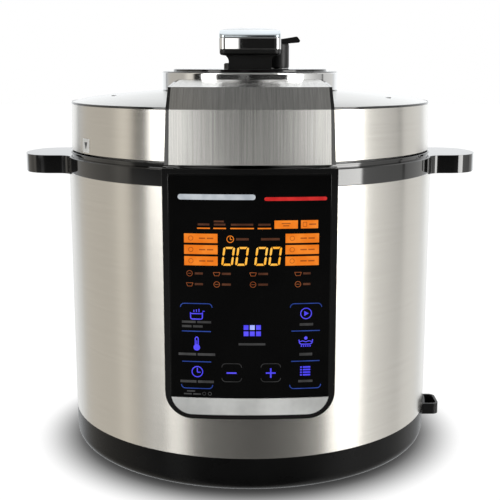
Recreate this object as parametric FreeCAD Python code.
import FreeCAD, Part
import math
import os

from FreeCAD import Vector

# Electric pressure cooker, six litres. Millimetres, +Z up, the floor is Z = 0.
# The body's axis is the Z axis, the control panel faces -Y, and +X is the cooker's right side.

# ---------------------------------------------------------------- driving dimensions
# Body
BODY_R = 141.0
SHELL_GAUGE = 0.8
SHELL_Z0 = 28.0
SHELL_Z1 = 215.6
FOOT_H = 3.0
FOOT_R = 9.0
FOOT_RING_R = 103.0
BASE_SIDE_R = 140.7
BASE_CORNER = 8.0
BASE_WALL = 2.5
LIP_GAP = 0.3

# Collar ring and side handles
BAND_R = 142.0
BAND_Z1 = 227.6
COLLAR_TOP = 230.8
TROUGH_R = 131.0
TROUGH_FLOOR = 219.0
HANDLE_REACH = 176.0
HANDLE_HALF_Y = 35.0
HANDLE_BOTTOM = 214.0
HANDLE_FILLET = 10.0
HANDLE_WALL = 3.0

# Pots
INNER_POT_R = 110.0
INNER_POT_GAUGE = 1.5
INNER_POT_FLOOR = 71.5
OUTER_POT_R = 113.5
OUTER_POT_GAUGE = 1.5
OUTER_POT_FLOOR = 52.0
FLANGE_Z0 = 227.0
FLANGE_Z1 = 229.5
FLANGE_R = 119.0
TOOTH_R = 125.0
TOOTH_COUNT = 8
TOOTH_DEG = 20.0

# Heater
PLATE_R = 98.0
PLATE_Z0 = 58.0
PLATE_Z1 = 69.9
HUB_TUBE_R = 27.0
SENSOR_BORE_R = 18.0
SENSOR_R = 17.0
SENSOR_TOP = 69.6

# Control panel
PANEL_HALF = 57.4
PANEL_Z0 = 60.0
PANEL_Z1 = 229.5
PANEL_CORNER = 18.5
PANEL_FACE_Y = -150.0
PANEL_BOW_R = 350.0
WINDOW_HALF = 53.4
WINDOW_Z0 = 75.0
WINDOW_Z1 = 226.0
STRIP_Z0 = 63.0
SKIN = 1.2
PANEL_CAVITY_HALF = 49.0

# Lid
LID_Z0 = 232.2
LID_BAND_R0 = 138.9
LID_BAND_R1 = 137.8
LID_BAND_Z1 = 266.1
DOME_R = 137.2
DOME_Z0 = 267.5
HUB_R = 68.3
HUB_TIER_R = 59.5
HUB_Z0 = 276.0
HUB_UNDER_Z = 287.0
HUB_RIM_Z = 290.0
HUB_TOP = 291.7
SPINE_Z0 = 231.5
SPINE_FACE_Y = -147.6
CREASE_LOW_Z = 267.0
CREASE_LOW_Y = -144.6
CREASE_HIGH_Z = 281.0
CREASE_HIGH_Y = -128.5
SPINE_BACK_Z = 284.6
SPINE_HALF_LOW = 55.9
SPINE_HALF_HIGH = 54.2

# Lid handle
GRIP_HALF_X = 22.8
GRIP_Y0 = -46.0
GRIP_Y1 = 34.0
GRIP_CORNER = 5.0
NECK_HALF_X = 15.8
NECK_TOP = 302.0
TRIM_Z0 = 306.0
TRIM_Z1 = 314.6
CAP_TOP = 322.5

# Pressure lid and its fittings
PLID_R = 128.5
PLID_GAUGE = 2.0
PLID_Z0 = 222.5
PLID_TOP = 252.0
VALVE_X, VALVE_Y = 22.7, 50.0
FLOAT_X, FLOAT_Y = -16.6, 50.0
PIPE_R = 4.0
RUNNING_FIT = 0.05

# Rear fittings
INLET_Z = 48.0
CUP_Z0 = 165.0
CUP_Z1 = 212.0
CUP_HALF = 32.0
CUP_FACE_Y = 150.0
CUP_WALL = 1.2

BIG = 400.0
UP = Vector(0, 0, 1)
ORIGIN = Vector(0, 0, 0)


# ---------------------------------------------------------------- helpers
def outline(points, place):
    """A closed face. A point is a corner; a pair of points is an arc, through the first to the second."""
    edges = []
    start = points[0]
    here = place(*start)
    for step in points[1:] + [start]:
        if isinstance(step[0], tuple):
            middle = place(*step[0])
            end = place(*step[1])
            edges.append(Part.Arc(here, middle, end).toShape())
        else:
            end = place(*step)
            if (end - here).Length < 1e-6:
                continue
            edges.append(Part.LineSegment(here, end).toShape())
        here = end
    return Part.Face(Part.Wire(edges))


def turned(points):
    """A solid of revolution about the Z axis, from an outline in radius and height."""
    face = outline(points, lambda r, z: Vector(r, 0, z))
    return face.revolve(ORIGIN, UP, 360)


def plan(points, z0, z1):
    """An outline in X and Y, raised from z0 to z1."""
    face = outline(points, lambda x, y: Vector(x, y, z0))
    return face.extrude(Vector(0, 0, z1 - z0))


def front(points, y0, y1):
    """An outline in X and Z, carried from y0 to y1."""
    face = outline(points, lambda x, z: Vector(x, y0, z))
    return face.extrude(Vector(0, y1 - y0, 0))


def side(points, x0, x1):
    """An outline in Y and Z, carried from x0 to x1."""
    face = outline(points, lambda y, z: Vector(x0, y, z))
    return face.extrude(Vector(x1 - x0, 0, 0))


def block(x0, x1, y0, y1, z0, z1):
    return Part.makeBox(x1 - x0, y1 - y0, z1 - z0, Vector(x0, y0, z0))


def rod(x, y, z0, z1, r):
    return Part.makeCylinder(r, z1 - z0, Vector(x, y, z0), UP)


def ring(r0, r1, z0, z1):
    return turned([(r0, z0), (r1, z0), (r1, z1), (r0, z1)])


def about_z(shape, degrees):
    copy = shape.copy()
    copy.rotate(ORIGIN, UP, degrees)
    return copy


def mirrored_x(shape):
    return shape.mirror(ORIGIN, Vector(1, 0, 0))


def polar(r, degrees):
    angle = math.radians(degrees)
    return r * math.cos(angle), r * math.sin(angle)


def sector(r0, r1, z0, z1, centre_deg, width_deg):
    """A piece of a flat ring, centred on a direction seen from above."""
    low = centre_deg - width_deg / 2
    high = centre_deg + width_deg / 2
    points = [
        polar(r0, low),
        polar(r1, low),
        (polar(r1, centre_deg), polar(r1, high)),
        polar(r0, high),
        (polar(r0, centre_deg), polar(r0, low)),
    ]
    return plan(points, z0, z1)


def joined(shapes):
    return shapes[0].multiFuse(shapes[1:]).removeSplitter()


def group(shapes):
    return Part.makeCompound(shapes)


def rounded_box(x0, x1, y0, y1, z0, z1, r):
    """A box whose four upright edges are rounded."""
    c = r * (1 - math.sqrt(0.5))
    points = [
        (x0 + r, y0),
        (x1 - r, y0),
        ((x1 - c, y0 + c), (x1, y0 + r)),
        (x1, y1 - r),
        ((x1 - c, y1 - c), (x1 - r, y1)),
        (x0 + r, y1),
        ((x0 + c, y1 - c), (x0, y1 - r)),
        (x0, y0 + r),
        ((x0 + c, y0 + c), (x0 + r, y0)),
    ]
    return plan(points, z0, z1)


# ---------------------------------------------------------------- base
def curved_skin(pairs):
    points = [Vector(r, 0, z) for r, z in pairs]
    curve = Part.BSplineCurve()
    curve.interpolate(points)
    return curve.toShape(), points[0], points[-1]


def solid_of_base(inset, floor_z):
    """The base's outer form as a full solid, drawn in by inset and standing on floor_z: nearly
    upright sides that turn into the flat bottom through one rounded corner."""
    corner = BASE_CORNER - inset
    side_r = BASE_SIDE_R - inset
    c = corner * (1 - math.sqrt(0.5))
    return turned([
        (0, floor_z),
        (side_r - corner, floor_z),
        ((side_r - c, floor_z + c), (side_r, floor_z + corner)),
        (BODY_R - inset, SHELL_Z0),
        (0, SHELL_Z0),
    ])


FOOT_DEG = [45, 135, 225, 315]
BRACKET_DEG = [30, 150, 270]
BRACKET_SCREW_R = 100.0
PEG_R = 3.0
SCREW_R = 1.9
SCREW_HEAD_R = 3.8


def base_cover():
    floor_top = FOOT_H + BASE_WALL
    lip_r = BODY_R - SHELL_GAUGE - LIP_GAP
    outer = solid_of_base(0.0, FOOT_H)
    inner = solid_of_base(BASE_WALL, floor_top)
    lip = ring(lip_r - 2.0, lip_r, SHELL_Z0 - 3.0, SHELL_Z0 + 5.0)
    shoulder = ring(lip_r - 2.0, BODY_R - 1.0, SHELL_Z0 - 3.0, SHELL_Z0)
    shape = joined([outer.cut(inner), lip, shoulder])
    cuts = []
    for deg in FOOT_DEG:
        x, y = polar(FOOT_RING_R, deg)
        cuts.append(rod(x, y, 0, floor_top + 1, PEG_R + RUNNING_FIT))
    for deg in BRACKET_DEG:
        x, y = polar(BRACKET_SCREW_R, deg)
        cuts.append(rod(x, y, 0, floor_top + 1, SCREW_R + 0.2))
        cuts.append(rod(x, y, 0, FOOT_H + 1.2, SCREW_HEAD_R + 0.3))
    slot_count = 7
    for i in range(slot_count):
        x = (i - (slot_count - 1) / 2) * 9.0
        cuts.append(block(x - 2.0, x + 2.0, -30, 30, 0, floor_top + 1))
    return shape.cut(group(cuts))


def rubber_feet():
    feet = []
    for deg in FOOT_DEG:
        x, y = polar(FOOT_RING_R, deg)
        pad = Part.makeCone(FOOT_R - 1.0, FOOT_R, FOOT_H, Vector(x, y, 0), UP)
        peg = rod(x, y, FOOT_H, FOOT_H + BASE_WALL + 2.0, PEG_R)
        feet.append(joined([pad, peg]))
    return group(feet)


def base_screws():
    screws = []
    for deg in BRACKET_DEG:
        x, y = polar(BRACKET_SCREW_R, deg)
        head = rod(x, y, FOOT_H + 0.2, FOOT_H + 1.2, SCREW_HEAD_R)
        shank = rod(x, y, FOOT_H + 1.2, FOOT_H + 9.0, SCREW_R)
        cross = joined([
            block(x - 2.4, x + 2.4, y - 0.5, y + 0.5, FOOT_H, FOOT_H + 0.8),
            block(x - 0.5, x + 0.5, y - 2.4, y + 2.4, FOOT_H, FOOT_H + 0.8),
        ])
        screws.append(joined([head, shank]).cut(cross))
    return group(screws)


def support_brackets():
    """Three bent steel strips that carry the outer pot on the base."""
    foot_z = FOOT_H + BASE_WALL + 0.1
    wall_r = OUTER_POT_R + OUTER_POT_GAUGE
    gauge = 1.2
    half_width = 12.0
    bend = [
        (90.0, foot_z),
        (wall_r + 0.1 + gauge, foot_z),
        (wall_r + 0.1 + gauge, 84.0),
        (wall_r + 0.1, 84.0),
        (wall_r + 0.1, foot_z + gauge),
        (90.0, foot_z + gauge),
    ]
    strip = outline(bend, lambda r, z: Vector(r, -half_width, z)).extrude(Vector(0, 2 * half_width, 0))
    strip = strip.cut(rod(BRACKET_SCREW_R, 0, 0, 20, SCREW_R + 0.1))
    return group([about_z(strip, deg) for deg in BRACKET_DEG])


# ---------------------------------------------------------------- shell, collar and side handles
INLET_HALF_X = 13.5
INLET_HALF_Z = 10.5


def housing_shell():
    tube = ring(BODY_R - SHELL_GAUGE, BODY_R, SHELL_Z0, SHELL_Z1)
    panel_hole = block(-49.5, 49.5, -BIG, -100, 66, BIG)
    inlet_hole = block(
        -INLET_HALF_X - 0.3, INLET_HALF_X + 0.3, 100, BIG,
        INLET_Z - INLET_HALF_Z - 0.3, INLET_Z + INLET_HALF_Z + 0.3,
    )
    drain_hole = Part.makeCylinder(3.5, 60, Vector(0, 110, 206), Vector(0, 1, 0))
    return tube.cut(group([panel_hole, inlet_hole, drain_hole]))


def handle_plan(reach, half_y, inner_x, inset):
    """One side handle seen from above: a straight front, rounded corners, a bowed end, and concave
    fillets that run into the collar band."""
    corner_x = reach - 24.0
    corner_y = half_y - 17.0
    via = (corner_x + 14.5, half_y - 6.2)
    top = [(corner_x, half_y), (via, (reach - 3.5, corner_y))]
    end = [((reach, 0.0), (reach - 3.5, -corner_y)), ((via[0], -via[1]), (corner_x, -half_y))]
    if inset:
        return [(inner_x, -half_y), (inner_x, half_y)] + top + end
    centre_y = half_y + HANDLE_FILLET
    centre_x = math.sqrt((BAND_R + HANDLE_FILLET) ** 2 - centre_y ** 2)
    share = BAND_R / (BAND_R + HANDLE_FILLET)
    touch = (centre_x * share, centre_y * share)
    angle = math.radians(-116.0)
    middle = (
        centre_x + HANDLE_FILLET * math.cos(angle - math.radians(16)),
        centre_y + HANDLE_FILLET * math.sin(angle - math.radians(16)),
    )
    fillet_in = [touch, (middle, (centre_x, half_y))]
    fillet_out = [(centre_x, -half_y), ((middle[0], -middle[1]), (touch[0], -touch[1]))]
    return fillet_in + top + end + fillet_out + [(inner_x, -touch[1]), (inner_x, touch[1])]


def handle_cavity(clearance, z0, z1):
    reach = HANDLE_REACH - HANDLE_WALL - clearance
    half_y = HANDLE_HALF_Y - HANDLE_WALL - clearance
    inner_x = BAND_R + HANDLE_WALL + clearance
    return plan(handle_plan(reach, half_y, inner_x, True), z0, z1)


def collar_ring():
    """The black ring around the pots: an outer band, a lip under the lid, the trough that catches
    condensation, and the two side handles moulded on."""
    skirt_r = BODY_R - SHELL_GAUGE - LIP_GAP
    band = turned([
        (skirt_r - 1.9, SHELL_Z1 - 7.0),
        (skirt_r, SHELL_Z1 - 7.0),
        (skirt_r, SHELL_Z1),
        (BAND_R - 0.4, SHELL_Z1),
        (BAND_R, SHELL_Z1 + 0.4),
        (BAND_R, BAND_Z1 - 0.6),
        (BAND_R - 0.6, BAND_Z1),
        (138.4, BAND_Z1),
        (138.4, 229.3),
        (139.5, 229.3),
        (139.5, COLLAR_TOP - 0.3),
        (139.2, COLLAR_TOP),
        (TROUGH_R, COLLAR_TOP),
        (TROUGH_R, TROUGH_FLOOR),
        (OUTER_POT_R + OUTER_POT_GAUGE + LIP_GAP, TROUGH_FLOOR),
        (OUTER_POT_R + OUTER_POT_GAUGE + LIP_GAP, TROUGH_FLOOR - 2.0),
        (TROUGH_R + 2.0, TROUGH_FLOOR - 2.0),
        (TROUGH_R + 2.0, BAND_Z1 - 1.6),
        (skirt_r - 1.9, BAND_Z1 - 1.6),
    ])
    tab = plan(handle_plan(HANDLE_REACH, HANDLE_HALF_Y, BODY_R - 6.0, False), HANDLE_BOTTOM, BAND_Z1)
    tab = tab.cut(rod(0, 0, HANDLE_BOTTOM - 1, BAND_Z1 + 1, BAND_R - 1.0))
    tab = tab.cut(handle_cavity(0.0, HANDLE_BOTTOM - 1, BAND_Z1 - HANDLE_WALL))
    bosses = [rod(161, y, HANDLE_BOTTOM + 3.0, BAND_Z1 - 1.0, 4.0) for y in (-18, 18)]
    tab = joined([tab] + bosses)
    tab = tab.cut(group([rod(161, y, HANDLE_BOTTOM, BAND_Z1 - 3.0, 1.5) for y in (-18, 18)]))
    drain = rod(0, 124.5, TROUGH_FLOOR - 3, TROUGH_FLOOR + 1, 3.0)
    return joined([band, tab, mirrored_x(tab)]).cut(drain)


def handle_covers():
    cover = handle_cavity(0.15, HANDLE_BOTTOM + 0.4, HANDLE_BOTTOM + 2.9)
    holes = []
    for y in (-18, 18):
        holes.append(rod(161, y, HANDLE_BOTTOM, HANDLE_BOTTOM + 4, 1.7))
        holes.append(rod(161, y, HANDLE_BOTTOM, HANDLE_BOTTOM + 1.8, 3.2))
    cover = cover.cut(group(holes))
    return group([cover, mirrored_x(cover)])


def handle_screws():
    screws = []
    for y in (-18, 18):
        head = rod(161, y, HANDLE_BOTTOM + 0.6, HANDLE_BOTTOM + 1.8, 3.0)
        shank = rod(161, y, HANDLE_BOTTOM + 1.8, HANDLE_BOTTOM + 9.0, 1.45)
        screws.append(joined([head, shank]))
    return group(screws + [mirrored_x(s) for s in screws])


def spoon_holder():
    """A small open-topped pocket on the right of the base."""
    outer = rounded_box(132, 151, -30, -6, 19.8, 28.4, 5.0)
    outer = outer.fuse(block(132, 142, -30, -6, 19.8, 28.4))
    inner = rounded_box(130, 149.2, -28.2, -7.8, 21.6, 40, 3.4).cut(rod(0, 0, 0, 60, BODY_R + 1.8))
    body = outer.cut(inner)
    body = body.cut(solid_of_base(-0.1, FOOT_H).fuse(rod(0, 0, SHELL_Z0 - 1, 60, BODY_R + 0.1)))
    return body.removeSplitter()


# ---------------------------------------------------------------- pots and heater
TERMINAL_DEG = [-101, -79]
ELEMENT_R = 62.0
ELEMENT_TUBE_R = 4.0
CUTOUT_X, CUTOUT_Y = -66.0, 46.0


def outer_pot():
    outside = OUTER_POT_R + OUTER_POT_GAUGE
    wall = turned([
        (HUB_TUBE_R + 3.0, OUTER_POT_FLOOR - 2.0),
        (outside - 4.0, OUTER_POT_FLOOR - 2.0),
        ((outside - 1.2, OUTER_POT_FLOOR - 0.8), (outside, OUTER_POT_FLOOR + 2.0)),
        (outside, 215.0),
        (outside + 3.0, 215.0),
        (outside + 3.0, TROUGH_FLOOR - 2.0),
        (outside, TROUGH_FLOOR - 2.0),
        (outside, FLANGE_Z0),
        (FLANGE_R, FLANGE_Z0),
        (FLANGE_R, FLANGE_Z1),
        (OUTER_POT_R, FLANGE_Z1),
        (OUTER_POT_R, OUTER_POT_FLOOR + 1.6),
        (OUTER_POT_R - 1.6, OUTER_POT_FLOOR),
        (HUB_TUBE_R + 3.0, OUTER_POT_FLOOR),
    ])
    teeth = []
    for i in range(TOOTH_COUNT):
        teeth.append(sector(FLANGE_R - 1.0, TOOTH_R, FLANGE_Z0, FLANGE_Z1, i * 360 / TOOTH_COUNT, TOOTH_DEG))
    holes = []
    for deg in TERMINAL_DEG:
        x, y = polar(ELEMENT_R, deg)
        holes.append(rod(x, y, 45, 55, 4.0))
    return joined([wall] + teeth).cut(group(holes))


def element_tube(r):
    return Part.makeTorus(ELEMENT_R, r, Vector(0, 0, PLATE_Z0 + 1.0), UP)


def heating_plate():
    """A cast aluminium disc with the heating element let into its underside."""
    plate = turned([
        (SENSOR_BORE_R, OUTER_POT_FLOOR - 5.0),
        (HUB_TUBE_R, OUTER_POT_FLOOR - 5.0),
        (HUB_TUBE_R, PLATE_Z0),
        (PLATE_R - 6.0, PLATE_Z0),
        (PLATE_R, PLATE_Z0 + 5.0),
        (PLATE_R, PLATE_Z1 - 1.5),
        (PLATE_R - 1.5, PLATE_Z1),
        (SENSOR_BORE_R, PLATE_Z1),
    ])
    groove = element_tube(ELEMENT_TUBE_R + 0.1)
    rim = ring(PLATE_R - 22.0, PLATE_R - 20.5, PLATE_Z1 - 0.5, PLATE_Z1 + 1)
    return plate.cut(groove).cut(rim)


def heating_element():
    gap = sector(ELEMENT_R - 5, ELEMENT_R + 5, PLATE_Z0 - 4, PLATE_Z0 + 6, -90, 14)
    tube = element_tube(ELEMENT_TUBE_R).cut(gap)
    ends = []
    for deg in TERMINAL_DEG:
        x, y = polar(ELEMENT_R, deg)
        ends.append(rod(x, y, 36.0, PLATE_Z0 + 1.0, 2.5))
    return joined([tube] + ends)


def pressure_spring_plate():
    """The springy disc under the outer pot that sinks a little as the pressure rises."""
    return turned([
        (12.0, 45.0),
        (24.0, 45.0),
        (38.0, 46.6),
        (54.0, 48.4),
        (54.0, 49.9),
        (38.0, 48.1),
        (24.0, 46.5),
        (12.0, 46.5),
    ])


def pressure_switch():
    case = block(70, 92, -9, 9, 30, 49.9)
    arm = block(46, 71, -3, 3, 42.5, 44.0)
    button = rod(50, 0, 44.0, 47.7, 2.0)
    return joined([case, arm, button])


def thermal_cutout():
    body = rod(CUTOUT_X, CUTOUT_Y, OUTER_POT_FLOOR + 0.2, PLATE_Z0 - 0.1, 7.0)
    ears = block(CUTOUT_X - 12, CUTOUT_X + 12, CUTOUT_Y - 2.5, CUTOUT_Y + 2.5,
                 OUTER_POT_FLOOR + 4.0, OUTER_POT_FLOOR + 5.0)
    return joined([body, ears])


def sensor_bracket():
    cup = turned([
        (3.2, 47.4),
        (SENSOR_BORE_R - RUNNING_FIT, 47.4),
        (SENSOR_BORE_R - RUNNING_FIT, 54.0),
        (SENSOR_BORE_R - 1.2, 54.0),
        (SENSOR_BORE_R - 1.2, 48.8),
        (3.2, 48.8),
    ])
    return cup


def sensor_cap():
    return turned([
        (0, 41.0),
        (2.5, 41.0),
        (2.5, SENSOR_TOP - 1.4),
        (SENSOR_R - 1.2, SENSOR_TOP - 1.4),
        (SENSOR_R - 1.2, 59.0),
        (SENSOR_R, 59.0),
        (SENSOR_R, SENSOR_TOP - 0.8),
        (SENSOR_R - 0.8, SENSOR_TOP),
        (0, SENSOR_TOP),
    ])


def sensor_spring():
    coil_r = 9.0
    wire_r = 0.7
    z0 = 49.0 + wire_r
    height = SENSOR_TOP - 1.6 - wire_r - z0
    helix = Part.makeHelix(height / 5.0, height, coil_r)
    helix.translate(Vector(0, 0, z0))
    section = Part.Wire([Part.Circle(Vector(coil_r, 0, z0), Vector(0, 1, 0), wire_r).toShape()])
    return Part.Wire(helix.Edges).makePipeShell([section], True, True)


def inner_pot():
    outside = INNER_POT_R + INNER_POT_GAUGE
    base = INNER_POT_FLOOR - INNER_POT_GAUGE
    corner = 12.0
    inner_corner = corner - INNER_POT_GAUGE
    c = corner * (1 - math.sqrt(0.5))
    ci = inner_corner * (1 - math.sqrt(0.5))
    rim_z = FLANGE_Z1 + 0.1
    return turned([
        (0, base),
        (outside - corner, base),
        ((outside - c, base + c), (outside, base + corner)),
        (outside, rim_z),
        (117.0, rim_z),
        (117.4, rim_z + 0.6),
        (117.0, rim_z + 1.6),
        (INNER_POT_R + 1.4, rim_z + 1.6),
        ((INNER_POT_R + 0.4, rim_z + 1.2), (INNER_POT_R, rim_z + 0.2)),
        (INNER_POT_R, INNER_POT_FLOOR + inner_corner),
        ((INNER_POT_R - ci, INNER_POT_FLOOR + ci), (INNER_POT_R - inner_corner, INNER_POT_FLOOR)),
        (0, INNER_POT_FLOOR),
    ])


# ---------------------------------------------------------------- control panel and electronics
def bowed(radius_drop):
    """The space behind the panel's gently bowed face, set back by radius_drop."""
    r = PANEL_BOW_R - radius_drop
    return rod(0, PANEL_FACE_Y + PANEL_BOW_R, 40, 300, r)


def panel_outline(half, z0, z1, corner):
    c = corner * (1 - math.sqrt(0.5))
    return [
        (-half, z1),
        (-half, z0 + corner),
        ((-half + c, z0 + c), (-half + corner, z0)),
        (half - corner, z0),
        ((half - c, z0 + c), (half, z0 + corner)),
        (half, z1),
    ]


STRIP_CORNER = PANEL_CORNER - (PANEL_HALF - WINDOW_HALF)


def facing(inset):
    """The window and the strip below it, as one sheet on the panel's face."""
    sheet = front(
        panel_outline(WINDOW_HALF - inset, STRIP_Z0 + inset, WINDOW_Z1 - inset, STRIP_CORNER),
        -160, -120,
    )
    return sheet.common(bowed(0.0)).cut(bowed(SKIN))


def panel_bezel():
    body = front(panel_outline(PANEL_HALF, PANEL_Z0, PANEL_Z1, PANEL_CORNER), -160, -110)
    body = body.common(bowed(0.0))
    body = body.cut(rod(0, 0, 40, SHELL_Z1 - 0.1, BODY_R + 0.1))
    body = body.cut(rod(0, 0, SHELL_Z1 - 0.2, 300, BAND_R + 0.2))
    cavity = block(-PANEL_CAVITY_HALF, PANEL_CAVITY_HALF, -160, -100, 68, SHELL_Z1 - 2.0)
    body = body.cut(cavity)
    recess = front(panel_outline(WINDOW_HALF, STRIP_Z0, WINDOW_Z1, STRIP_CORNER), -160, -120)
    body = body.cut(recess.cut(bowed(SKIN + 0.05)))
    return body


def touch_window():
    return facing(0.1).common(block(-BIG, BIG, -BIG, 0, WINDOW_Z0, BIG))


def panel_strip():
    return facing(0.1).common(block(-BIG, BIG, -BIG, 0, 0, WINDOW_Z0 - 0.15))


def display_module():
    """The lamp block behind the window: a tray with a square cell for each lamp."""
    tray = block(-44, 44, -145.6, -138.1, 148, 194)
    cells = []
    for row in range(3):
        for column in range(6):
            x = -41.5 + column * 14.0
            z = 150.5 + row * 14.5
            cells.append(block(x, x + 12, -147, -140, z, z + 12))
    return tray.cut(group(cells))


def display_board():
    board = block(-46, 46, -138.0, -136.4, 70, 206)
    holes = [Part.makeCylinder(1.6, 10, Vector(x, -142, z), Vector(0, 1, 0)) for x in (-42, 42) for z in (75, 145)]
    return board.cut(group(holes))


BOARD_Z = FOOT_H + BASE_WALL + 5.0


def power_board():
    board = block(-52, 40, 66, 108, BOARD_Z, BOARD_Z + 1.6)
    holes = [rod(x, y, BOARD_Z - 1, BOARD_Z + 3, 1.6) for x in (-48, 36) for y in (70, 104)]
    return board.cut(group(holes))


def board_components():
    top = BOARD_Z + 1.6
    return group([
        block(-44, -18, 72, 90, top, top + 20),
        block(-12, 8, 74, 86, top, top + 15),
        rod(18, 82, top, top + 16, 6.0),
        rod(30, 92, top, top + 12, 4.5),
        block(-44, -30, 95, 103, top, top + 12),
        block(-24, -6, 94, 103, top, top + 10),
    ])


def inlet_pin_blocks(grow):
    pins = []
    for x, dz in ((-7, -1.5), (7, -1.5), (0, 2.5)):
        pins.append(block(x - 1 - grow, x + 1 + grow, 119, 138.5 + grow,
                          INLET_Z + dz - 2 - grow, INLET_Z + dz + 2 + grow))
    return pins


def power_inlet():
    """A standard three-pin appliance inlet, with chamfered upper corners in its socket."""
    body = block(-INLET_HALF_X, INLET_HALF_X, 122, 143.5, INLET_Z - INLET_HALF_Z, INLET_Z + INLET_HALF_Z)
    flange = rounded_box(-17, 17, 130, 143.5, INLET_Z - 14, INLET_Z + 14, 0.5)
    flange = flange.cut(rod(0, 0, 0, 100, BODY_R + 0.1))
    shape = joined([body, flange])
    socket = front([
        (-12, INLET_Z - 8),
        (12, INLET_Z - 8),
        (12, INLET_Z + 3),
        (7, INLET_Z + 8),
        (-7, INLET_Z + 8),
        (-12, INLET_Z + 3),
    ], 126.5, 150)
    return shape.cut(socket).cut(group(inlet_pin_blocks(RUNNING_FIT)))


def inlet_pins():
    return group(inlet_pin_blocks(0.0))


# ---------------------------------------------------------------- condensation cup at the back
def cup_bracket():
    plate = block(-CUP_HALF - 2, CUP_HALF + 2, 120, 146, CUP_Z0 - 1, CUP_Z1 + 1)
    plate = plate.common(rod(0, 0, 0, 300, BODY_R + 1.5)).cut(rod(0, 0, 0, 300, BODY_R + 0.1))
    drain = Part.makeCylinder(3.0, 60, Vector(0, 110, 206), Vector(0, 1, 0))
    return plate.cut(drain)


def condensation_cup():
    outer = rounded_box(-CUP_HALF, CUP_HALF, 120, CUP_FACE_Y, CUP_Z0, CUP_Z1, 4.0)
    outer = outer.cut(rod(0, 0, 0, 300, BODY_R + 1.7))
    inner = rounded_box(
        -CUP_HALF + CUP_WALL, CUP_HALF - CUP_WALL, 120, CUP_FACE_Y - CUP_WALL, CUP_Z0 + CUP_WALL, 300, 2.5,
    )
    inner = inner.cut(rod(0, 0, 0, 300, BODY_R + 1.7 + CUP_WALL))
    mouth = Part.makeCylinder(4.5, 9, Vector(0, 138, 206), Vector(0, 1, 0))
    return outer.cut(inner).cut(mouth)


# ---------------------------------------------------------------- lid switch slider
SLIDER_DEG = 90.0


def lid_switch_slider():
    """A small shoe in the trough that the lid's lug carries round as the lid is turned."""
    shoe = sector(120.5, TROUGH_R - 0.4, TROUGH_FLOOR + 0.3, PLID_Z0 - 0.3, SLIDER_DEG + 12, 12)
    prongs = []
    for offset in (-3.4, 3.4):
        prongs.append(sector(PLID_R + 0.4, TROUGH_R - 0.4, PLID_Z0 - 1.0, 227.0, SLIDER_DEG + 12 + offset, 2.2))
    return joined([shoe] + prongs)


# ---------------------------------------------------------------- lid
def lid_band():
    return turned([
        (LID_BAND_R0 - SHELL_GAUGE, LID_Z0),
        (LID_BAND_R0, LID_Z0),
        (LID_BAND_R1, LID_BAND_Z1),
        (LID_BAND_R1 - SHELL_GAUGE, LID_BAND_Z1),
    ])


def lid_trim_ring():
    low = LID_BAND_Z1 + 0.1
    return turned([
        (LID_BAND_R1 - 2.2, low),
        (LID_BAND_R1 + 0.1, low),
        (LID_BAND_R1 + 0.3, low + 0.5),
        (LID_BAND_R1 + 0.1, low + 1.2),
        (LID_BAND_R1 - 0.4, low + 1.5),
        (LID_BAND_R1 - 0.4, low + 0.6),
        (LID_BAND_R1 - 2.2, low + 0.6),
    ])


DOME_POINTS = [(DOME_R, DOME_Z0), (121.0, 270.8), (100.0, 273.0), (82.0, 274.6), (63.0, 275.7)]
DOME_GAUGE = 0.6


def dome_sheet(lift, gauge):
    """The lid's gently domed top as a sheet, raised by lift."""
    upper = [(r, z + lift) for r, z in DOME_POINTS]
    lower = [(r, z + lift - gauge) for r, z in reversed(DOME_POINTS)]
    top_skin, top_start, top_end = curved_skin(upper)
    low_skin, low_start, low_end = curved_skin(lower)
    edges = [
        top_skin,
        Part.LineSegment(top_end, low_start).toShape(),
        low_skin,
        Part.LineSegment(low_end, top_start).toShape(),
    ]
    return Part.Face(Part.Wire(edges)).revolve(ORIGIN, UP, 360)


def lid_dome():
    return dome_sheet(0.0, DOME_GAUGE)


LID_FLANGE_Z = 232.4
LID_SCREW_R = 134.4
LID_SCREW_DEG = [20, 60, 120, 160, 200, 340]


def lid_inner_frame():
    """The black ring inside the lid that joins the steel band and dome to the pressure lid."""
    wall = PLID_R + 1.1
    inside_band = LID_BAND_R0 - SHELL_GAUGE - 0.15
    body = turned([
        (wall, LID_FLANGE_Z),
        (inside_band, LID_FLANGE_Z),
        (inside_band, LID_FLANGE_Z + 2.0),
        (wall + 2.0, LID_FLANGE_Z + 2.0),
        (wall + 2.0, 263.6),
        (LID_BAND_R1 - SHELL_GAUGE - 0.3, 263.6),
        (LID_BAND_R1 - SHELL_GAUGE - 0.3, 265.6),
        (wall, 265.6),
    ])
    bosses = []
    holes = []
    for deg in LID_SCREW_DEG:
        x, y = polar(LID_SCREW_R, deg)
        bosses.append(rod(x, y, LID_FLANGE_Z + 1.0, LID_FLANGE_Z + 12.0, 2.9))
        holes.append(rod(x, y, LID_FLANGE_Z - 1, LID_FLANGE_Z + 9.0, 1.5))
        holes.append(rod(x, y, LID_FLANGE_Z - 1, LID_FLANGE_Z + 1.3, 2.7))
    return joined([body] + bosses).cut(group(holes))


def lid_screws():
    screws = []
    for deg in LID_SCREW_DEG:
        x, y = polar(LID_SCREW_R, deg)
        head = rod(x, y, LID_FLANGE_Z + 0.2, LID_FLANGE_Z + 1.3, 2.5)
        shank = rod(x, y, LID_FLANGE_Z + 1.3, LID_FLANGE_Z + 8.5, 1.45)
        screws.append(joined([head, shank]))
    return group(screws)


HANDLE_BOLT_Y = [-28.0, 16.0]
HUB_BOSS_XY = [(-44.0, -22.0), (44.0, -22.0), (-46.0, 20.0), (46.0, 20.0)]


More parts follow.
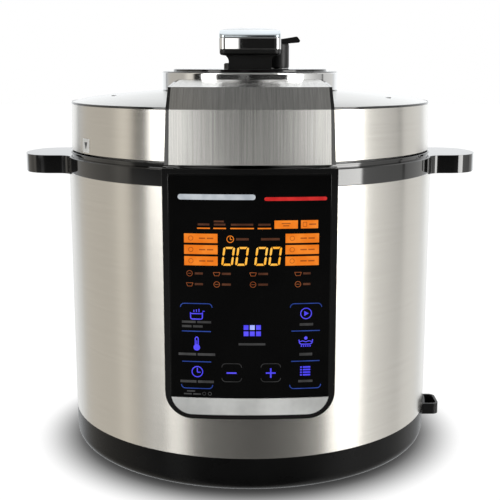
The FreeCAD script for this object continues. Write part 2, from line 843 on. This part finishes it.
def hub():
    """The glossy round platform on the dome, hollow below, that carries the handle and the valves."""
    shell = turned([
        (0, HUB_UNDER_Z),
        (HUB_R - 2.5, HUB_UNDER_Z),
        (HUB_R - 2.5, HUB_Z0),
        (HUB_R - 0.3, HUB_Z0),
        (HUB_R, HUB_Z0 + 0.3),
        (HUB_R, HUB_RIM_Z - 1.6),
        ((HUB_R - 0.45, HUB_RIM_Z - 0.5), (HUB_R - 1.6, HUB_RIM_Z)),
        (HUB_TIER_R, HUB_RIM_Z),
        (HUB_TIER_R, HUB_TOP - 0.5),
        (HUB_TIER_R - 0.5, HUB_TOP),
        (0, HUB_TOP),
    ])
    bosses = [rod(x, y, 253.0, HUB_RIM_Z - 1.0, 4.5) for x, y in HUB_BOSS_XY]
    holes = [rod(VALVE_X, VALVE_Y, 280, 300, PIPE_R + 0.4)]
    holes.append(rod(FLOAT_X, FLOAT_Y, 280, 300, 5.6))
    holes.extend(rod(0, y, 280, 300, 2.6) for y in HANDLE_BOLT_Y)
    holes.extend(rod(x, y, 250, 270, 1.6) for x, y in HUB_BOSS_XY)
    return joined([shell] + bosses).cut(group(holes))


# The spine is the tall block on the lid's front: an upright face, a steep facet and a nearly level
# top that runs back to the hub. All three are bowed in plan, about one upright axis behind the lid.
BOW_AXIS_Y = SPINE_FACE_Y + PANEL_BOW_R
SPINE_PROFILE = [
    (SPINE_FACE_Y, SPINE_Z0),
    (CREASE_LOW_Y, CREASE_LOW_Z),
    (CREASE_HIGH_Y, CREASE_HIGH_Z),
    (-HUB_R, SPINE_BACK_Z),
]


def set_in(points, drop):
    """A chain of straight lines, moved sideways by drop towards the inside of the lid."""
    lines = []
    for (y0, z0), (y1, z1) in zip(points, points[1:]):
        length = math.hypot(y1 - y0, z1 - z0)
        across = ((z1 - z0) / length * drop, -(y1 - y0) / length * drop)
        lines.append((y0 + across[0], z0 + across[1], y1 - y0, z1 - z0))
    moved = [(lines[0][0], lines[0][1])]
    for (ya, za, dya, dza), (yb, zb, dyb, dzb) in zip(lines, lines[1:]):
        share = ((yb - ya) * dzb - (zb - za) * dyb) / (dya * dzb - dza * dyb)
        moved.append((ya + share * dya, za + share * dza))
    y, z, dy, dz = lines[-1]
    moved.append((y + dy, z + dz))
    return moved


def spine_body(drop, z0):
    """The spine's full form, with its three outer faces set in by drop and its foot at z0."""
    chain = set_in(SPINE_PROFILE, drop)
    lean = (CREASE_LOW_Y - SPINE_FACE_Y) / (CREASE_LOW_Z - SPINE_Z0)
    foot_y = chain[0][0] - lean * (chain[0][1] - z0)
    back_y = -45.0
    points = [(foot_y, z0)] + chain[1:] + [(back_y, chain[-1][1]), (back_y, z0)]
    face = outline(points, lambda y, z: Vector(0, y, z))
    axis = Vector(0, BOW_AXIS_Y, 0)
    return face.revolve(axis, UP, 360)


def spine_front_view(low, high, y0, y1):
    """The spine's outline from the front: leaning sides with rounded upper corners."""
    shoulder = [(high, CREASE_HIGH_Z - 1.0), (high - 0.5, CREASE_HIGH_Z + 1.8), (high - 3.0, CREASE_HIGH_Z + 4.2)]
    start, via, end = shoulder
    return front([
        (-low, SPINE_Z0),
        (low, SPINE_Z0),
        start,
        (via, end),
        (end[0], CREASE_HIGH_Z + 6.0),
        (-end[0], CREASE_HIGH_Z + 6.0),
        (-end[0], end[1]),
        ((-via[0], via[1]), (-start[0], start[1])),
    ], y0, y1)


def lid_envelope(gap):
    """Everything that the lid's band, trim, dome and hub fill, grown by gap."""
    rim_z = LID_BAND_Z1 + 1.7 + gap
    band = Part.makeCone(
        LID_BAND_R0 + gap, LID_BAND_R1 + gap + 0.5, rim_z - LID_Z0 + 4.0, Vector(0, 0, LID_Z0 - 4.0), UP,
    )
    lower = [(r, z + gap) for r, z in DOME_POINTS]
    skin, start, end = curved_skin(lower)
    edges = [
        skin,
        Part.LineSegment(end, Vector(0, 0, end.z)).toShape(),
        Part.LineSegment(Vector(0, 0, end.z), Vector(0, 0, 255)).toShape(),
        Part.LineSegment(Vector(0, 0, 255), Vector(start.x, 0, 255)).toShape(),
        Part.LineSegment(Vector(start.x, 0, 255), start).toShape(),
    ]
    dome = Part.Face(Part.Wire(edges)).revolve(ORIGIN, UP, 360)
    column = rod(0, 0, 255, 300, HUB_R + gap)
    return band.fuse(dome).fuse(column)


PLATE_GAUGE = 1.0


def spine_plate_cutter(grow):
    return spine_front_view(SPINE_HALF_LOW - 3.0 + grow, SPINE_HALF_HIGH - 2.0 + grow, -160, -60)


def spine_frame():
    outer = spine_body(0.0, SPINE_Z0)
    outer = outer.common(spine_front_view(SPINE_HALF_LOW, SPINE_HALF_HIGH, -160, -40))
    outer = outer.cut(lid_envelope(0.15))
    recess = spine_body(-2.0, SPINE_Z0 - 1).cut(spine_body(PLATE_GAUGE + 0.05, SPINE_Z0 - 2))
    outer = outer.cut(recess.common(spine_plate_cutter(0.1)))
    hollow = spine_body(3.4, SPINE_Z0 + 3.0)
    hollow = hollow.common(spine_front_view(SPINE_HALF_LOW - 3.0, SPINE_HALF_HIGH - 3.0, -160, -74))
    hollow = hollow.common(block(-BIG, BIG, -BIG, BIG, SPINE_Z0 + 3.0, BIG))
    return outer.cut(hollow.cut(lid_envelope(2.2)))


def spine_plate():
    sheet = spine_body(0.0, SPINE_Z0 + 0.1).cut(spine_body(PLATE_GAUGE, SPINE_Z0 - 2))
    sheet = sheet.common(spine_plate_cutter(0.0))
    return sheet.cut(rod(0, 0, 200, 320, HUB_R + 0.5))


def handle_neck():
    """The handle's black body: a waisted neck, a lip, and the core that the trim ring slips over."""
    grip = rounded_box(-GRIP_HALF_X + 0.4, GRIP_HALF_X - 0.4, GRIP_Y0 + 0.4, GRIP_Y1 - 0.4,
                       NECK_TOP, TRIM_Z0 - 0.1, GRIP_CORNER)
    grip = grip.makeFillet(1.9, [e for e in grip.Edges if e.BoundBox.ZMax < NECK_TOP + 0.01])
    core_gap = 1.8
    core = rounded_box(-GRIP_HALF_X + core_gap, GRIP_HALF_X - core_gap, GRIP_Y0 + core_gap, GRIP_Y1 - core_gap,
                       TRIM_Z0 - 0.5, TRIM_Z1 - 0.3, GRIP_CORNER - 1.5)
    flare = 4.5
    waist = front([
        (-NECK_HALF_X - 1.2, HUB_TOP + 0.05),
        (NECK_HALF_X + 1.2, HUB_TOP + 0.05),
        ((NECK_HALF_X + 0.3, HUB_TOP + 0.8), (NECK_HALF_X, HUB_TOP + 2.5)),
        (NECK_HALF_X, NECK_TOP - flare),
        ((NECK_HALF_X + 1.3, NECK_TOP - 1.3), (NECK_HALF_X + flare, NECK_TOP + 0.5)),
        (-NECK_HALF_X - flare, NECK_TOP + 0.5),
        ((-NECK_HALF_X - 1.3, NECK_TOP - 1.3), (-NECK_HALF_X, NECK_TOP - flare)),
        (-NECK_HALF_X, HUB_TOP + 2.5),
        ((-NECK_HALF_X - 0.3, HUB_TOP + 0.8), (-NECK_HALF_X - 1.2, HUB_TOP + 0.05)),
    ], GRIP_Y0 + 6.0, GRIP_Y1 - 6.0)
    bolts = group([rod(0, y, HUB_TOP - 1, 301.5, 2.55) for y in HANDLE_BOLT_Y])
    return joined([waist, grip, core]).cut(bolts)


def handle_trim():
    outer = rounded_box(-GRIP_HALF_X, GRIP_HALF_X, GRIP_Y0, GRIP_Y1, TRIM_Z0, TRIM_Z1, GRIP_CORNER)
    outer = outer.makeFillet(0.5, [e for e in outer.Edges if abs(e.BoundBox.ZLength) < 1e-6])
    wall = 1.7
    hole = rounded_box(-GRIP_HALF_X + wall, GRIP_HALF_X - wall, GRIP_Y0 + wall, GRIP_Y1 - wall,
                       TRIM_Z0 - 1, TRIM_Z1 + 1, GRIP_CORNER - 1.5)
    return outer.cut(hole)


def handle_cap():
    """The grip's crowned top, highest at its middle."""
    low = TRIM_Z1 + 0.05
    blank = rounded_box(-GRIP_HALF_X + 0.2, GRIP_HALF_X - 0.2, GRIP_Y0 + 0.2, GRIP_Y1 - 0.2,
                        low, CAP_TOP + 4, GRIP_CORNER)
    middle_y = (GRIP_Y0 + GRIP_Y1) / 2
    crown = side([
        (GRIP_Y0 - 1, low - 1),
        (GRIP_Y0 - 1, low + 1.4),
        ((middle_y, CAP_TOP), (GRIP_Y1 + 1, low + 1.4)),
        (GRIP_Y1 + 1, low - 1),
    ], -40, 40)
    bulge = front([
        (-GRIP_HALF_X - 1, low - 1),
        (-GRIP_HALF_X - 1, CAP_TOP - 2.6),
        ((0, CAP_TOP + 0.3), (GRIP_HALF_X + 1, CAP_TOP - 2.6)),
        (GRIP_HALF_X + 1, low - 1),
    ], -80, 80)
    return blank.common(crown).common(bulge)


def handle_bolts():
    bolts = []
    for y in HANDLE_BOLT_Y:
        head = rod(0, y, HUB_UNDER_Z - 4.0, HUB_UNDER_Z - 0.1, 4.5)
        socket = rod(0, y, HUB_UNDER_Z - 4.0, HUB_UNDER_Z - 2.0, 2.2)
        shank = rod(0, y, HUB_UNDER_Z - 0.1, 301.0, 2.5)
        bolts.append(joined([head, shank]).cut(socket))
    return group(bolts)


# ---------------------------------------------------------------- pressure lid and its fittings
FLOAT_STEM_R = 2.5
SHIELD_R = 8.0


def pressure_lid():
    """The thick lid that holds the pressure: eight teeth under its skirt hook below the outer pot's."""
    inner_r = PLID_R - PLID_GAUGE
    body = turned([
        (inner_r, PLID_Z0),
        (PLID_R, PLID_Z0),
        (PLID_R, 238.0),
        ((PLID_R - 3.4, 245.2), (118.5, 248.0)),
        (0, PLID_TOP),
        (0, PLID_TOP - PLID_GAUGE),
        (118.0, 246.0),
        ((inner_r - 2.8, 243.6), (inner_r, 237.5)),
    ])
    teeth = []
    for i in range(TOOTH_COUNT):
        teeth.append(sector(TOOTH_R - 4.0, inner_r + 0.5, PLID_Z0, 226.6, i * 360 / TOOTH_COUNT, TOOTH_DEG))
    lug = sector(PLID_R - 0.5, PLID_R + 1.7, 223.5, 228.0, SLIDER_DEG + 12, 2.6)
    holes = [
        rod(VALVE_X, VALVE_Y, 240, 260, PIPE_R + 0.1),
        rod(FLOAT_X, FLOAT_Y, 240, 260, FLOAT_STEM_R + 0.4),
    ]
    return joined([body, lug] + teeth).cut(group(holes))


def sealing_ring():
    """A silicone ring of U section, open towards the pressure."""
    inner = 113.0
    outer = PLID_R - PLID_GAUGE - 0.3
    low = 231.6
    return turned([
        (inner, low),
        (outer - 0.6, low),
        (outer, low + 0.6),
        (outer, low + 6.4),
        (outer - 3.0, low + 8.2),
        (inner + 1.0, low + 8.2),
        (inner + 1.0, low + 6.0),
        (outer - 4.0, low + 6.0),
        (outer - 2.6, low + 4.6),
        (outer - 2.6, low + 2.4),
        (inner, low + 2.0),
    ])


def inner_liner():
    disc = turned([
        (3.2, 233.4),
        (100.0, 233.4),
        (112.4, 238.4),
        (112.4, 239.6),
        (99.8, 234.6),
        (3.2, 234.6),
    ])
    holes = [
        rod(VALVE_X, VALVE_Y, 225, 245, SHIELD_R + 1.0),
        rod(FLOAT_X, FLOAT_Y, 225, 245, 6.2),
    ]
    for deg in (200, 240, 300, 340):
        x, y = polar(70, deg)
        holes.append(rod(x, y, 225, 245, 3.0))
    return disc.cut(group(holes))


def liner_stud():
    return turned([
        (0, 229.0),
        (4.2, 229.0),
        (5.2, 230.0),
        (5.2, 233.2),
        (3.0, 233.2),
        (3.0, 249.9),
        (0, 249.9),
    ])


def steam_shield():
    """The slotted cup under the lid that keeps food out of the steam pipe."""
    cup = rod(VALVE_X, VALVE_Y, 229.5, 247.7, SHIELD_R)
    cup = cup.cut(rod(VALVE_X, VALVE_Y, 231.0, 250.0, SHIELD_R - 1.2))
    slots = []
    for deg in (0, 60, 120):
        slot = block(-SHIELD_R - 2, SHIELD_R + 2, -0.9, 0.9, 232.5, 243.0)
        slot.rotate(ORIGIN, UP, deg)
        slot.translate(Vector(VALVE_X, VALVE_Y, 0))
        slots.append(slot)
    return cup.cut(group(slots))


def steam_pipe():
    pipe = rod(VALVE_X, VALVE_Y, 247.8, 303.6, PIPE_R)
    nut = rod(VALVE_X, VALVE_Y, 252.2, 256.5, 7.5)
    bore = rod(VALVE_X, VALVE_Y, 240, 310, 1.6)
    return joined([pipe, nut]).cut(bore)


def steam_valve():
    """The pressure limiting knob: a round post on the steam pipe, and a fin to turn it by."""
    post_r = 9.6
    post = turned([
        (0, HUB_TOP + 0.2),
        (post_r - 0.8, HUB_TOP + 0.2),
        (post_r, HUB_TOP + 1.0),
        (post_r, 310.2),
        ((post_r - 0.5, 311.4), (post_r - 1.8, 312.0)),
        (0, 312.6),
    ])
    fin = front([
        (-6.0, 311.5),
        (4.0, 311.0),
        (10.5, 312.0),
        (17.6, 312.6),
        (18.7, 314.0),
        (16.3, 317.2),
        (15.1, 317.4),
        ((6.0, 315.9), (-6.0, 314.4)),
    ], -4.5, 4.5)
    fin = fin.makeFillet(1.0, [e for e in fin.Edges if e.BoundBox.YLength > 8.9 and e.BoundBox.ZMax > 313.5])
    knob = joined([post, fin])
    knob.translate(Vector(VALVE_X, VALVE_Y, 0))
    steam_hole = rod(VALVE_X, VALVE_Y, 303, 308, 2.0)
    return knob.cut(rod(VALVE_X, VALVE_Y, 280, 304.0, PIPE_R + RUNNING_FIT)).cut(steam_hole)


def float_valve():
    pin = turned([
        (0, 236.5),
        (FLOAT_STEM_R, 236.5),
        (FLOAT_STEM_R, 282.0),
        (5.0, 283.0),
        (5.0, 295.2),
        (4.2, 296.0),
        (0, 296.2),
    ])
    pin.translate(Vector(FLOAT_X, FLOAT_Y, 0))
    return pin


def float_gasket():
    cone = turned([
        (FLOAT_STEM_R + RUNNING_FIT, 237.0),
        (4.0, 237.0),
        (5.2, 238.5),
        (5.2, 243.6),
        (FLOAT_STEM_R + RUNNING_FIT, 243.6),
    ])
    cone.translate(Vector(FLOAT_X, FLOAT_Y, 0))
    return cone


# ---------------------------------------------------------------- build every node
NODES = {
    "base_cover": base_cover,
    "rubber_feet": rubber_feet,
    "base_screws": base_screws,
    "support_brackets": support_brackets,
    "housing_shell": housing_shell,
    "collar_ring": collar_ring,
    "handle_covers": handle_covers,
    "handle_screws": handle_screws,
    "spoon_holder": spoon_holder,
    "outer_pot": outer_pot,
    "heating_plate": heating_plate,
    "heating_element": heating_element,
    "pressure_spring_plate": pressure_spring_plate,
    "pressure_switch": pressure_switch,
    "thermal_cutout": thermal_cutout,
    "sensor_bracket": sensor_bracket,
    "sensor_cap": sensor_cap,
    "sensor_spring": sensor_spring,
    "inner_pot": inner_pot,
    "panel_bezel": panel_bezel,
    "touch_window": touch_window,
    "panel_strip": panel_strip,
    "display_module": display_module,
    "display_board": display_board,
    "power_board": power_board,
    "board_components": board_components,
    "power_inlet": power_inlet,
    "inlet_pins": inlet_pins,
    "cup_bracket": cup_bracket,
    "condensation_cup": condensation_cup,
    "lid_switch_slider": lid_switch_slider,
    "lid_band": lid_band,
    "lid_trim_ring": lid_trim_ring,
    "lid_dome": lid_dome,
    "lid_inner_frame": lid_inner_frame,
    "lid_screws": lid_screws,
    "hub": hub,
    "spine_frame": spine_frame,
    "spine_plate": spine_plate,
    "handle_neck": handle_neck,
    "handle_trim": handle_trim,
    "handle_cap": handle_cap,
    "handle_bolts": handle_bolts,
    "pressure_lid": pressure_lid,
    "sealing_ring": sealing_ring,
    "inner_liner": inner_liner,
    "liner_stud": liner_stud,
    "steam_shield": steam_shield,
    "steam_pipe": steam_pipe,
    "steam_valve": steam_valve,
    "float_valve": float_valve,
    "float_gasket": float_gasket,
}


def main():
    os.makedirs("parts", exist_ok=True)
    for name, make in NODES.items():
        shape = make()
        if not shape.isValid() or not shape.Solids:
            raise ValueError(name + " is not a valid solid")
        shape.exportStep("parts/" + name + ".step")
        print(f"{name}: {len(shape.Solids)} solid(s), {shape.Volume / 1000:.1f} cm3")


main()
